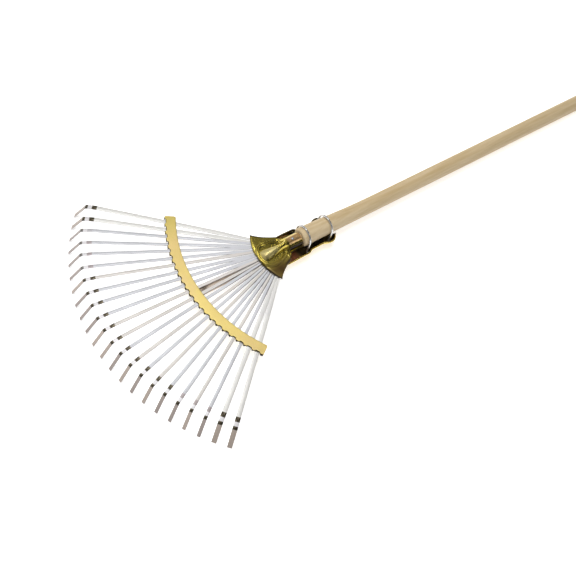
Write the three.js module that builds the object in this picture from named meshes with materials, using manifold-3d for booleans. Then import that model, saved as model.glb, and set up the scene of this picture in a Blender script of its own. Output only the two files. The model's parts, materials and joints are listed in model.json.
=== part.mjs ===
// Adjustable leaf rake: wooden handle, sheet-metal head, 22 spring-steel tines and a sliding spreader.
// Millimetres, +Z up. The rake is drawn level: the tines spread from the origin in the plane z = 0,
// towards -X, and the handle runs towards +X. At the end it is tilted so that it lies on a floor on
// its outer tine tips and the handle's butt, and centred over the floor's origin.
import * as THREE from 'three';
import { mergeVertices } from 'three/addons/utils/BufferGeometryUtils.js';
import Module from 'manifold-3d';

const wasm = await Module();
wasm.setup();

// ---- driving dimensions ----
const GAP = 0.3;                     // clearance between neighbouring pieces
const SHEET = 1.2;                   // thickness of the formed sheet pieces

const TINES = 22;
const FAN_HALF = THREE.MathUtils.degToRad(42);
const PEG_ARC = 42;                  // radius of the arc that the tine roots turn on
const PEG_R = 1.2;
const EYE_R = 2.7;                   // round root of a tine
const BEND_R = 347.5;                // radius of the main bend, from the origin
const KINK_INSET = 17.3;
const KINK_DROP = 2.4;
const HOOK_REACH = 19.6;
const HOOK_DROP = 35.5;
const TINE_T = 1.1;
const TINE_W = 6;
const WIDE_TINE_W = 8.2;             // the two outer tines on each side
const TINE_TAPER = 1 / 15;           // width of a tine per unit of radius, near the root
const LAYER = 0.75;                  // odd tines lie above the plane, even ones below it

const CLOSE_TRAVEL = 25;             // the spreader slides this far forward to narrow the fan
const OPEN_TRAVEL = 35;              // and this far back to widen it

const CARRIER_IN = 30;               // the two curved plates that hold the tines' roots
const CARRIER_OUT = 46;
const CARRIER_HALF = THREE.MathUtils.degToRad(47);
const CARRIER_RIVETS = [-36, 0, 36].map(THREE.MathUtils.degToRad);
const CARRIER_RIVET_R = 34;
const RIVET_SHANK = 1.6;

const HANDLE_END = 1212;
const HANDLE_R = 13.9;
const HANDLE_Z = 4.8;                // height of the straight length's axis
const SWELL_R = 3.1;                 // the head end is thicker
const SWELL_Z = 7.2;                 // and lifts a little
const SWELL_X = 95;
const SWELL_RATE = 28;
const TENON_R = 10.6;
const TENON_Z = 9.5;
const TENON_X = -2;
const SHOULDER_X = 24;
const SHOULDER_ROUND = 3;
const BUTT_FACE_R = 6;
const BUTT_DOME = 14;
const NAIL_X = 7;                    // a nail holds the neck on the tenon
const NAIL_R = 1.6;
const NAIL_FOOT = 8;

const MOUTH_X = -60.5;               // hood: front edge on the centre line
const MOUTH_R = 88.4;                // and its curve seen from above
const MOUTH_HALF = 50;
const BACK_X = -12;
const BACK_HALF = 26;
const NECK_X = -3;
const NECK_END = 22.5;
const HOOD_EDGE_Z = 3.8;
const EDGE_SHARE = 0.92;             // the outer part of the cover's half width folds down
const MEDAL_X = -40;                 // embossed shield: its widest place, and its reach from there
const MEDAL_HALF = 24;
const MEDAL_FRONT = 20;
const MEDAL_BACK = 36.5;
const MEDAL_Z = 9;

const RIM_FRONT_Z = -3.3;            // trough: its rims dip where they pass under the tines' roots
const RIM_Z = -2.2;
const CURL_R = 1.6;
const FLOOR_Z = -23;
const TOE_X = -16;
const TOE_Z = -7;
const TOE_END_X = 6;
const TAIL_X = 94;
const TAIL_Z = -12;
const CURL_SHARE = 0.25;             // share of the trough's half section that the curled rim takes
const TROUGH_T = 1.1;

const STAY_Z = -4.4;
const STAY_T = 1.5;
const STAY_HALF = 9;
const FOOT_RISE = 2.1;               // the stay's foot over the trough's sloping toe
const STAY_RIVET_X = -6;
const STAY_RIVET_Y = 4.5;
const SADDLES = { front: 42, rear: 58 };
const SADDLE_FOOT = FLOOR_Z + 0.6;
const CRADLE_R = 17;
const CRADLE_Z = 8.6;
const CRADLE_HALF = 14;
const BAR_X = 90;                    // centre of the spreader bar's curve
const BAR_IN = 267.3;
const BAR_OUT = 287.2;
const BAR_HALF = THREE.MathUtils.degToRad(32);
const BAR_TOP_Z = 3.4;
const FLANGE_Z = -1.6;
const STRIP_Z = -2.0;
const BAR_CORNER = 3;
const SCALLOP = 2.6;                 // depth of the wave in the bar's edge over each tine
const BAR_STEPS = 44;

const WIRE_R = 1.75;                 // lock bails: wire loops over the handle, hinged in the trough's walls
const BAIL_HINGE_Z = -11;
const BAIL_LEAN = THREE.MathUtils.degToRad(4);
const BAIL_BEND = 3;
const BAILS = [
  { name: 'front', x: 30.5, leg: 19.2, crown: 30.5, foot: 24.9 },
  { name: 'rear', x: 78, leg: 18.9, crown: 29.3, foot: 24.7 },
];

// ---- materials ----
const steel = (color, roughness) => new THREE.MeshStandardMaterial({ color, roughness, metalness: 1 });
const GOLD = steel(0xc9a94e, 0.28);
const PALE_GOLD = steel(0xe8cf83, 0.35);
const SPRING_STEEL = steel(0xd8d8dc, 0.3);
const CHROME = steel(0xe4e6ea, 0.12);
const ZINC = steel(0xb9bcc2, 0.35);
const WOOD = new THREE.MeshStandardMaterial({ color: 0xc9ad7c, roughness: 0.7, metalness: 0 });

// ---- geometry helpers ----
const { cos, sin, sqrt, abs, min, max, PI, hypot, atan2, exp } = Math;
const lerp = THREE.MathUtils.lerp;
const smooth = THREE.MathUtils.smoothstep;
const vec = (x, y, z) => new THREE.Vector3(x, y, z);

function fromTriangles(points, triangles) {
  const geometry = new THREE.BufferGeometry();
  geometry.setAttribute('position', new THREE.Float32BufferAttribute(points.flatMap((p) => p.toArray()), 3));
  geometry.setIndex(triangles);
  return facingOut(mergeVertices(geometry, 1e-4));
}

function facingOut(geometry) {
  const place = geometry.attributes.position;
  const index = geometry.index.array;
  const corner = [vec(), vec(), vec()];
  let volume = 0;
  for (let i = 0; i < index.length; i += 3) {
    corner.forEach((c, k) => c.fromBufferAttribute(place, index[i + k]));
    volume += corner[0].dot(corner[1].clone().cross(corner[2]));
  }
  if (volume < 0) geometry.setIndex(Array.from(index).reverse());
  return geometry;
}

// A solid through a row of outlines with the same number of points, with flat ends.
function loft(outlines) {
  const n = outlines[0].length;
  const points = outlines.flat();
  const triangles = [];
  for (let i = 0; i + 1 < outlines.length; i++) {
    for (let j = 0; j < n; j++) {
      const a = i * n + j;
      const b = i * n + (j + 1) % n;
      triangles.push(a, b, b + n, a, b + n, a + n);
    }
  }
  const last = (outlines.length - 1) * n;
  for (let j = 1; j + 1 < n; j++) {
    triangles.push(0, j + 1, j);
    triangles.push(last, last + j, last + j + 1);
  }
  return fromTriangles(points, triangles);
}

// A sheet of even thickness under the surface at(u, v), for u and v over the given lists.
function sheet(us, vs, at, thickness) {
  const grid = us.map((u) => vs.map((v) => at(u, v)));
  const under = grid.map((row, i) => row.map((p, j) => {
    const along = grid[min(i + 1, us.length - 1)][j].clone().sub(grid[max(i - 1, 0)][j]);
    const across = row[min(j + 1, vs.length - 1)].clone().sub(row[max(j - 1, 0)]);
    return p.clone().addScaledVector(along.cross(across).normalize(), -thickness);
  }));
  const n = vs.length;
  const count = us.length * n;
  const points = [...grid.flat(), ...under.flat()];
  const triangles = [];
  const quad = (a, b, c, d) => triangles.push(a, b, c, a, c, d);
  for (let i = 0; i + 1 < us.length; i++) {
    for (let j = 0; j + 1 < n; j++) {
      const a = i * n + j;
      quad(a, a + n, a + n + 1, a + 1);
      quad(count + a, count + a + 1, count + a + n + 1, count + a + n);
    }
    const left = i * n;
    const right = left + n - 1;
    quad(left, count + left, count + left + n, left + n);
    quad(right, right + n, count + right + n, count + right);
  }
  const back = (us.length - 1) * n;
  for (let j = 0; j + 1 < n; j++) {
    quad(j, j + 1, count + j + 1, count + j);
    quad(back + j, count + back + j, count + back + j + 1, back + j + 1);
  }
  return fromTriangles(points, triangles);
}

const CORNERS = [[-1, -1], [1, -1], [1, 1], [-1, 1]];
const steps = (from, to, count) => Array.from({ length: count + 1 }, (_, i) => lerp(from, to, i / count));

function solid(geometry) {
  const bare = geometry.clone();
  bare.deleteAttribute('normal');
  bare.deleteAttribute('uv');
  const merged = mergeVertices(bare, 1e-4);
  return new wasm.Manifold(new wasm.Mesh({
    numProp: 3,
    vertProperties: new Float32Array(merged.attributes.position.array),
    triVerts: new Uint32Array(merged.index.array),
  }));
}

function geometryOf(manifold) {
  const { vertProperties, triVerts } = manifold.getMesh();
  const geometry = new THREE.BufferGeometry();
  geometry.setAttribute('position', new THREE.BufferAttribute(new Float32Array(vertProperties), 3));
  geometry.setIndex(Array.from(triVerts));
  return geometry;
}

const without = (whole, tool) => whole.subtract(solid(tool));
const cut = (geometry, tools) => geometryOf(tools.reduce(without, solid(geometry)));
const join = (pieces) => geometryOf(pieces.map(solid).reduce((whole, piece) => whole.add(piece)));

// An upright cylinder from z0 to z1.
function post(x, y, z0, z1, radius, sides = 16) {
  const geometry = new THREE.CylinderGeometry(radius, radius, z1 - z0, sides);
  geometry.rotateX(PI / 2);
  return geometry.translate(x, y, (z0 + z1) / 2);
}

function box(x0, x1, y0, y1, z0, z1) {
  return new THREE.BoxGeometry(x1 - x0, y1 - y0, z1 - z0)
    .translate((x0 + x1) / 2, (y0 + y1) / 2, (z0 + z1) / 2);
}

// A rivet along +Z with a low domed head at each end. z0 and z1 are the outer faces that it grips.
function rivet(z0, z1, shank, head, topRise, footRise, foot = head) {
  const dome = (radius, z, rise) => steps(0, PI / 2, 3)
    .map((a) => new THREE.Vector2(radius * cos(a), z + rise * sin(a)));
  const profile = [
    ...dome(foot, z0 - GAP / 2, -footRise).reverse(),
    new THREE.Vector2(shank, z0 - GAP / 2),
    new THREE.Vector2(shank, z1 + GAP / 2),
    ...dome(head, z1 + GAP / 2, topRise),
  ];
  profile[0].x = 0;
  profile[profile.length - 1].x = 0;
  return facingOut(mergeVertices(bareOf(new THREE.LatheGeometry(profile, 12).rotateX(PI / 2)), 1e-4));
}

function bareOf(geometry) {
  geometry.deleteAttribute('normal');
  geometry.deleteAttribute('uv');
  return geometry;
}

// A flat plate between two radii about (x, 0), from z0 to z1.
function arcPlate(x, inner, outer, half, z0, z1, count) {
  return loft(steps(-half, half, count).map((a) => [[inner, z0], [outer, z0], [outer, z1], [inner, z1]]
    .map(([r, z]) => vec(x - r * cos(a), r * sin(a), z))));
}

// ---- the fan ----
const tineAngle = (i) => lerp(FAN_HALF, -FAN_HALF, (i - 1) / (TINES - 1));
const tineWidth = (i) => (min(i, TINES + 1 - i) <= 2 ? WIDE_TINE_W : TINE_W);
const pegPoint = (i) => vec(-PEG_ARC * cos(tineAngle(i)), PEG_ARC * sin(tineAngle(i)), 0);

// Where tine i crosses an arc about the spreader bar's centre, with the spreader at rest.
function crossing(i, radius) {
  const a = tineAngle(i);
  const r = sqrt(radius ** 2 - (BAR_X * sin(a)) ** 2) - BAR_X * cos(a);
  return vec(-r * cos(a), r * sin(a), 0);
}
const slotPoint = (i) => crossing(i, BAR_OUT);

// How far tine i's centre line leaves its slot's centre over the spreader's travel. The tine turns at
// an even rate, and its true rate rises as the spreader comes back.
function slotDrift(i) {
  const peg = pegPoint(i);
  const slot = slotPoint(i);
  const turnAt = (s) => atan2(slot.y - peg.y, peg.x - slot.x - s) - tineAngle(i);
  return max(...[-CLOSE_TRAVEL, OPEN_TRAVEL].map((s) => {
    const arm = hypot(slot.y - peg.y, peg.x - slot.x - s);
    return abs(turnAt(s) - tineRate(i) * s) * arm;
  }));
}

// Radians that tine i turns for each millimetre that the spreader moves back.
function tineRate(i) {
  const peg = pegPoint(i);
  const slot = slotPoint(i);
  const turnAt = (s) => atan2(slot.y - peg.y, peg.x - slot.x - s) - tineAngle(i);
  const closing = turnAt(-CLOSE_TRAVEL) / -CLOSE_TRAVEL;
  const opening = turnAt(OPEN_TRAVEL) / OPEN_TRAVEL;
  return (closing + opening) / 2;
}

function tine(i) {
  const level = i % 2 ? LAYER : -LAYER;
  const width = (r) => min(tineWidth(i), r * TINE_TAPER);
  const full = tineWidth(i) / TINE_TAPER;
  // centre line, as radius from the origin and height, with the two bends rounded
  const kink = BEND_R - KINK_INSET;
  const low = level - KINK_DROP;
  const line = [
    [PEG_ARC, level], [full, level], [lerp(full, BEND_R, 0.6), level],
    [kink - 2, level], [kink + 2, level - 0.35],
    [BEND_R - 3.2, low + 0.3], [BEND_R - 0.8, low - 0.6], [BEND_R + 0.9, low - 2.6],
    [BEND_R + HOOK_REACH, -HOOK_DROP],
  ];
  const outlines = line.map(([r, z], k) => {
    const before = line[max(k - 1, 0)];
    const after = line[min(k + 1, line.length - 1)];
    const run = hypot(after[0] - before[0], after[1] - before[1]);
    const nr = -(after[1] - before[1]) / run * TINE_T / 2;
    const nz = (after[0] - before[0]) / run * TINE_T / 2;
    const half = width(r) / 2;
    return CORNERS.map(([side, up]) => vec(-(r + up * nr), side * half, z + up * nz));
  });
  const eye = post(-PEG_ARC, 0, level - TINE_T / 2, level + TINE_T / 2, EYE_R, 12);
  const hole = post(-PEG_ARC, 0, level - 2, level + 2, PEG_R + GAP, 10);
  return cut(join([loft(outlines), eye]), [hole]).rotateZ(-tineAngle(i));
}

const carrierPoint = (a) => [-CARRIER_RIVET_R * cos(a), CARRIER_RIVET_R * sin(a)];

// Two curved plates hold the roots: the upper one's pegs reach down into the odd tines' eyes, and the
// lower one's pegs reach up into the even ones'.
function tineCarrier(up) {
  const face = up * (LAYER + TINE_T / 2 + GAP);
  const back = face + up * SHEET;
  const plate = arcPlate(0, CARRIER_IN, CARRIER_OUT, CARRIER_HALF, min(face, back), max(face, back), 24);
  const pegEnds = [up * 0.1, (face + back) / 2];
  const pegs = [];
  for (let i = up > 0 ? 1 : 2; i <= TINES; i += 2) {
    const p = pegPoint(i);
    pegs.push(post(p.x, p.y, min(...pegEnds), max(...pegEnds), PEG_R, 10));
  }
  const holes = CARRIER_RIVETS.map((a) => post(...carrierPoint(a), -6, 6, 1.5 + GAP, 12));
  return cut(join([plate, ...pegs]), holes);
}

// ---- handle ----
const swell = (x) => 1 / (1 + exp((x - SWELL_X) / SWELL_RATE));
const handleRadius = (x) => HANDLE_R + SWELL_R * swell(x);
const handleHeight = (x) => HANDLE_Z + SWELL_Z * swell(x);

function handle() {
  const turn = steps(0, 2 * PI, 24).slice(0, -1);
  const circle = (x, r, z) => turn.map((a) => vec(x, r * cos(a), z + r * sin(a)));
  const outlines = [circle(TENON_X, TENON_R - 1, TENON_Z), circle(TENON_X + 1, TENON_R, TENON_Z)];
  outlines.push(circle(SHOULDER_X, TENON_R, TENON_Z));
  for (const a of [0.01, PI / 4, PI / 2]) {
    const r = handleRadius(SHOULDER_X) - SHOULDER_ROUND * (1 - sin(a));
    outlines.push(circle(SHOULDER_X + 0.01 + SHOULDER_ROUND * (1 - cos(a)), r, handleHeight(SHOULDER_X)));
  }
  for (const x of [45, 60, 75, 90, 105, 120, 140, 165, 200, 260, 450, 700, 950]) {
    outlines.push(circle(x, handleRadius(x), handleHeight(x)));
  }
  for (const a of steps(0, PI / 2, 5)) {
    const r = lerp(BUTT_FACE_R, handleRadius(HANDLE_END), cos(a));
    outlines.push(circle(HANDLE_END - BUTT_DOME * (1 - sin(a)), r, HANDLE_Z));
  }
  return cut(loft(outlines), [post(NAIL_X, 0, NAIL_FOOT - 1, TENON_Z + TENON_R + 2, NAIL_R + GAP, 14)]);
}

// ---- hood: fan-shaped cover with an embossed medallion, and a neck over the handle's tenon ----

// 1 on the medallion's outline, less inside: round at the front, narrower at the back.
function medallionLevel(x, y) {
  const back = x > MEDAL_X;
  const power = back ? 1.75 : 2;
  const long = abs(x - MEDAL_X) / (back ? MEDAL_BACK : MEDAL_FRONT);
  return ((abs(y) / MEDAL_HALF) ** power + long ** power) ** (1 / power);
}

function coverHeight(x, y) {
  const level = medallionLevel(x, y);
  const base = HOOD_EDGE_Z + 2.4 * (1 - (y / MOUTH_HALF) ** 2);
  const raised = lerp(base, MEDAL_Z, 1 - smooth(level, 0.98, 1.12));
  const ribHalf = lerp(10.5, 6, smooth(x, -54, -8));
  const ribTop = lerp(13.5, 20.5, (x + 54) / 46);
  const arch = sqrt(max(0, 1 - (y / ribHalf) ** 2));
  const rib = (ribTop - MEDAL_Z) * arch * smooth(x, -56, -49);
  return raised + rib * (1 - smooth(level, 0.9, 1));
}

// The neck's half section, from its crown (t = 0) to its lifted rim (t = 1).
function neckSection(t) {
  const round = 0.6;
  const radius = TENON_R + GAP + SHEET;
  if (t <= round) {
    const a = t / round * THREE.MathUtils.degToRad(82);
    return [radius * sin(a), TENON_Z + radius * cos(a)];
  }
  const line = [[11.98, 11.2], [12.4, 7.2], [13.4, 5.4], [15.2, 7.4]];
  const at = (t - round) / (1 - round) * (line.length - 1);
  const k = min(Math.floor(at), line.length - 2);
  return [lerp(line[k][0], line[k + 1][0], at - k), lerp(line[k][1], line[k + 1][1], at - k)];
}

function hoodPoint(u, v) {
  const t = abs(v);
  const side = v < 0 ? -1 : 1;
  const back = min(1, max(0, (u - MOUTH_X) / (BACK_X - MOUTH_X)));
  const half = u <= BACK_X ? lerp(MOUTH_HALF, BACK_HALF, back) : BACK_HALF;
  const plateY = min(1, t / EDGE_SHARE) * half;
  const sag = MOUTH_R - sqrt(MOUTH_R ** 2 - plateY ** 2);
  const x = u + sag * (1 - back);
  const fold = max(0, (t - EDGE_SHARE) / (1 - EDGE_SHARE)) * lerp(1.4, 5, smooth(back, 0.5, 0.75));
  const plateZ = coverHeight(x, plateY) - fold;
  const [neckY, neckZ] = neckSection(t);
  const k = smooth(u, BACK_X, NECK_X);
  return vec(x, side * lerp(plateY, neckY, k), lerp(plateZ, neckZ, k));
}

function hood() {
  const us = [...steps(MOUTH_X, BACK_X, 15), ...steps(BACK_X, NECK_X, 4).slice(1), NAIL_X, NECK_END];
  const half = [0, 0.07, 0.14, 0.21, 0.28, 0.35, 0.42, 0.5, 0.6, 0.66, 0.74, 0.83, EDGE_SHARE, 1];
  const vs = [...half.slice(1).map((v) => -v).reverse(), ...half];
  const shell = sheet(us, vs, hoodPoint, SHEET);
  return cut(shell, [post(NAIL_X, 0, 15, 25, NAIL_R + GAP, 14)]);
}

// ---- spreader: trough on the handle, stay under the tines, slotted bar ----
function troughHalf(x) {
  const stations = [[TOE_X, 28.9], [31, 28.2], [37, 24.2], [67, 23.5], [71, 26], [75, 27.6],
    [79.5, 28], [84.5, 26.8], [89.5, 23.4], [TAIL_X, 16]];
  const k = max(0, stations.findIndex(([end]) => x <= end) - 1);
  const [x0, y0] = stations[k];
  const [x1, y1] = stations[k + 1];
  return lerp(y0, y1, (x - x0) / (x1 - x0));
}

const rimHeight = (x) => lerp(RIM_FRONT_Z, RIM_Z, smooth(x, -12, 8));

const toeHeight = (x) => lerp(TOE_Z, FLOOR_Z, (x - TOE_X) / (TOE_END_X - TOE_X));
const troughFloor = (x) => (x < TOE_END_X ? toeHeight(x) : lerp(FLOOR_Z, TAIL_Z, smooth(x, 74, TAIL_X + 4)));

function troughPoint(x, v) {
  const side = v < 0 ? -1 : 1;
  const t = abs(v);
  const half = troughHalf(x);
  const wallTop = rimHeight(x) - CURL_R;
  if (t > 1 - CURL_SHARE) {
    const a = lerp(PI, -PI / 3, (t - 1 + CURL_SHARE) / CURL_SHARE);
    return vec(x, side * (half - CURL_R + CURL_R * cos(a)), wallTop + CURL_R * sin(a));
  }
  const a = t / (1 - CURL_SHARE) * PI / 2;
  const power = 1 / 1.2;
  const depth = wallTop - troughFloor(x);
  return vec(x, side * (half - 2 * CURL_R) * sin(a) ** power, wallTop - depth * max(cos(a), 0) ** power);
}

function trough() {
  const xs = [TOE_X, -9, -1, TOE_END_X, 18, 31, 34, 37, 52, 67, 69, 71, 75, 79.5, 84.5, 89.5, TAIL_X];
  const half = [0, 0.12, 0.24, 0.36, 0.48, 0.6, 0.7, 1 - CURL_SHARE, 0.81, 0.87, 0.93, 1];
  const vs = [...half.slice(1).map((v) => -v).reverse(), ...half];
  const shell = sheet(xs, vs, troughPoint, TROUGH_T);
  const hinges = BAILS.map((bail) => new THREE.CylinderGeometry(WIRE_R + GAP, WIRE_R + GAP, 80, 14)
    .translate(bail.x, 0, BAIL_HINGE_Z));
  return cut(shell, [...stayRivetTools(), ...hinges]);
}

// The stay lies flat under the tines, and its foot follows the trough's sloping toe.
const TOE_SLOPE = atan2(FLOOR_Z - TOE_Z, TOE_END_X - TOE_X);
const toePoint = (x, rise) => [x - rise * sin(TOE_SLOPE), toeHeight(x) + rise * cos(TOE_SLOPE)];

function stay() {
  const footTop = toePoint(TOE_X, FOOT_RISE);
  const kneeX = footTop[0] + (STAY_Z - footTop[1]) / Math.tan(TOE_SLOPE);
  const line = [[BAR_X - BAR_OUT + 2.5, STAY_Z], [-60, STAY_Z], [kneeX, STAY_Z], toePoint(1.5, FOOT_RISE)];
  const normals = [[0, 1], [0, 1], [-Math.tan(TOE_SLOPE / 2), 1], [-sin(TOE_SLOPE), cos(TOE_SLOPE)]];
  const outlines = line.map(([x, z], k) => CORNERS.map(([side, up]) => vec(
    x + up * normals[k][0] * STAY_T / 2, side * STAY_HALF, z + up * normals[k][1] * STAY_T / 2)));
  const barHole = post(BAR_X - BAR_MID, 0, STAY_Z - 2, STAY_Z + 2, RIVET_SHANK + GAP, 12);
  return cut(loft(outlines), [barHole, ...stayRivetTools()]);
}

function onToe(geometry, y) {
  const [x, z] = toePoint(STAY_RIVET_X, 0);
  return geometry.rotateY(-TOE_SLOPE).translate(x, y, z);
}

function stayRivetTools() {
  return [-1, 1].map((side) => onToe(post(0, 0, -4, 6, RIVET_SHANK + GAP, 12), side * STAY_RIVET_Y));
}

function stayRivet(side) {
  return onToe(rivet(-TROUGH_T, FOOT_RISE + STAY_T / 2, RIVET_SHANK, 3, 1, 0.8), side * STAY_RIVET_Y);
}

// Formed bracket in the trough with a cradle under the handle.
function saddle(x) {
  const shape = new THREE.Shape();
  const rise = -sqrt(CRADLE_R ** 2 - CRADLE_HALF ** 2);
  shape.moveTo(-6, SADDLE_FOOT);
  shape.lineTo(6, SADDLE_FOOT);
  shape.lineTo(CRADLE_HALF, CRADLE_Z + rise);
  shape.absarc(0, CRADLE_Z, CRADLE_R, atan2(rise, CRADLE_HALF), atan2(rise, -CRADLE_HALF), true);
  const web = new THREE.ExtrudeGeometry(shape, { depth: 2, bevelEnabled: false, curveSegments: 14 });
  web.rotateX(PI / 2).rotateZ(PI / 2).translate(x, 0, 0);
  return join([web, box(x - 4, x + 6, -5, 5, SADDLE_FOOT, SADDLE_FOOT + 1.5)]);
}

// Half of a bail's centre line in its own plane, from the foot to the crown: [y, height over the hinge].
function bailSide(bail) {
  const height = (bail.crown - BAIL_HINGE_Z) / cos(BAIL_LEAN);
  const side = [[bail.foot, 0]];
  for (const a of steps(0, PI / 2, 4)) {
    side.push([bail.leg + BAIL_BEND * (1 - sin(a)), BAIL_BEND * (1 - cos(a))]);
  }
  for (const a of steps(0, PI / 2, 9)) side.push([bail.leg * cos(a), height - bail.leg + bail.leg * sin(a)]);
  return side;
}

function lockBail(bail) {
  const side = bailSide(bail);
  const line = [...side.slice(0, -1), ...side.map(([y, z]) => [-y, z]).reverse()];
  const outlines = line.map(([y, z], k) => {
    const [y0, z0] = line[max(k - 1, 0)];
    const [y1, z1] = line[min(k + 1, line.length - 1)];
    const run = hypot(y1 - y0, z1 - z0);
    return steps(0, 2 * PI, 8).slice(0, -1).map((a) => vec(
      WIRE_R * sin(a), y + WIRE_R * cos(a) * (z1 - z0) / run, z - WIRE_R * cos(a) * (y1 - y0) / run));
  });
  return loft(outlines).rotateY(BAIL_LEAN).translate(bail.x, 0, BAIL_HINGE_Z);
}

// The bar: a top plate whose outer edge turns down between the tines, and a strip under the tines.
const BAR_MID = (BAR_IN + BAR_OUT) / 2;
const barAngle = (i) => Math.asin(crossing(i, BAR_MID).y / BAR_MID);
const END_RIVET = barAngle(1) + 9 / BAR_MID;
const BAR_RIVETS = [END_RIVET, barAngle(6.6), 0, barAngle(TINES - 5.6), -END_RIVET];
const barPoint = (a) => [BAR_X - BAR_MID * cos(a), BAR_MID * sin(a)];

// What rounds off an inner corner of the bar, at its end on that side.
function cornerTool(side) {
  const round = post(-BAR_CORNER, -side * BAR_CORNER, -2, 6, BAR_CORNER, 24);
  const corner = box(-BAR_CORNER, 1, side > 0 ? -BAR_CORNER : -1, side > 0 ? 1 : BAR_CORNER, -1, 5);
  const a = side * BAR_HALF;
  return cut(corner, [round]).rotateZ(-a).translate(BAR_X - BAR_IN * cos(a), BAR_IN * sin(a), 0);
}

function barTop() {
  const plate = arcPlate(BAR_X, BAR_IN, BAR_OUT, BAR_HALF, BAR_TOP_Z - SHEET, BAR_TOP_Z, BAR_STEPS);
  const flange = arcPlate(BAR_X, BAR_OUT - SHEET, BAR_OUT, BAR_HALF, FLANGE_Z, BAR_TOP_Z - 0.2, BAR_STEPS);
  const lipFoot = BAR_TOP_Z - SHEET - 0.5;
  const lip = arcPlate(BAR_X, BAR_IN, BAR_IN + SHEET, BAR_HALF, lipFoot, BAR_TOP_Z - 0.2, BAR_STEPS);
  const notches = [];
  for (let i = 1; i <= TINES; i++) {
    const inward = -Math.sign(tineAngle(i)) * slotDrift(i);
    const half = tineWidth(i) / 2 + 0.5;
    const y0 = min(-half, -half + inward);
    const y1 = max(half, half + inward);
    const notch = new THREE.Shape();
    const peak = BAR_TOP_Z - 0.9;
    notch.moveTo(y0, -6);
    notch.lineTo(y1, -6);
    notch.lineTo(y1, peak - 1.2);
    notch.quadraticCurveTo(y1, peak, y1 - 1.6, peak);
    notch.lineTo(y0 + 1.6, peak);
    notch.quadraticCurveTo(y0, peak, y0, peak - 1.2);
    const tool = new THREE.ExtrudeGeometry(notch, { depth: 5, bevelEnabled: false, curveSegments: 3 });
    tool.rotateX(PI / 2).rotateZ(PI / 2).translate(-1.6, 0, 0);
    const slot = slotPoint(i);
    const wave = post(0, 0, 0, 6, 1, 18).scale(SCALLOP, half, 1);
    for (const shape of [tool, wave]) notches.push(shape.rotateZ(-tineAngle(i)).translate(slot.x, slot.y, 0));
  }
  return cut(join([plate, flange, lip]), [...notches, cornerTool(1), cornerTool(-1)]);
}

function barStrip() {
  const strip = arcPlate(BAR_X, BAR_IN + 1.5, BAR_OUT - 3, BAR_HALF, STRIP_Z - SHEET, STRIP_Z, BAR_STEPS);
  return cut(strip, BAR_RIVETS.map((a) => post(...barPoint(a), -8, 8, RIVET_SHANK + GAP, 12)));
}

// The rivets are welded under the plate, so that its top is plain.
function barRivet(k) {
  const bottom = abs(BAR_RIVETS[k]) < 1e-6 ? STAY_Z - STAY_T / 2 : STRIP_Z - SHEET;
  const headRise = 0.5;
  const top = BAR_TOP_Z - SHEET - headRise - GAP / 2 - 0.05;
  return rivet(bottom, top, RIVET_SHANK, 2.6, headRise, 0.8).translate(...barPoint(BAR_RIVETS[k]), 0);
}

// ---- assembly ----
const rake = new THREE.Group();
function add(name, geometry, material) {
  const mesh = new THREE.Mesh(geometry, material);
  mesh.name = name;
  rake.add(mesh);
}
const two = (i) => String(i).padStart(2, '0');

add('handle', handle(), WOOD);
add('hood', hood(), GOLD);
const neckTop = TENON_Z + TENON_R + GAP + SHEET;
const nail = rivet(NAIL_FOOT, neckTop, NAIL_R, 2.6, 1.1, 0.4, NAIL_R - 0.1);
add('neck_nail', nail.translate(NAIL_X, 0, 0), ZINC);
add('tine_carrier_upper', tineCarrier(1), ZINC);
add('tine_carrier_lower', tineCarrier(-1), ZINC);
const carrierFace = LAYER + TINE_T / 2 + GAP + SHEET;
CARRIER_RIVETS.forEach((a, k) => {
  const pin = rivet(-carrierFace, carrierFace, 1.5, 2.4, 0.4, 0.4);
  add(`carrier_rivet_${k + 1}`, pin.translate(...carrierPoint(a), 0), ZINC);
});
for (let i = 1; i <= TINES; i++) add(`tine_${two(i)}`, tine(i), SPRING_STEEL);
add('slide_trough', trough(), GOLD);
for (const [name, x] of Object.entries(SADDLES)) add(`saddle_${name}`, saddle(x), ZINC);
add('centre_stay', stay(), SPRING_STEEL);
[-1, 1].forEach((side, k) => add(`stay_rivet_${k + 1}`, stayRivet(side), ZINC));
add('spreader_bar', barTop(), PALE_GOLD);
add('spreader_strip', barStrip(), PALE_GOLD);
BAR_RIVETS.forEach((_, k) => add(`bar_rivet_${k + 1}`, barRivet(k), PALE_GOLD));
for (const bail of BAILS) add(`lock_bail_${bail.name}`, lockBail(bail), CHROME);

// Lay the rake on the floor: the outer tine tips and the butt touch it.
const tipX = -(BEND_R + HOOK_REACH) * cos(FAN_HALF);
const layTilt = atan2(HANDLE_Z - HANDLE_R + HOOK_DROP, HANDLE_END - tipX);
rake.rotation.y = layTilt;
rake.updateMatrixWorld(true);
const extent = new THREE.Box3().setFromObject(rake, true);
rake.position.set(-(extent.min.x + extent.max.x) / 2, 0, -extent.min.z);

const part = new THREE.Group();
part.add(rake);

export default part;
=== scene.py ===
"""Looks of the adjustable leaf rake.

Every piece is built in millimetres in the rake's own level frame: the tines spread from the origin in
the plane z = 0 towards -X, and the handle runs towards +X. LEVEL takes that frame, which the joints
give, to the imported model's frame, where the rake lies on the floor.
"""

import json
import math

import bmesh
import bpy
import numpy as np
from mathutils import Matrix, Vector


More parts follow.
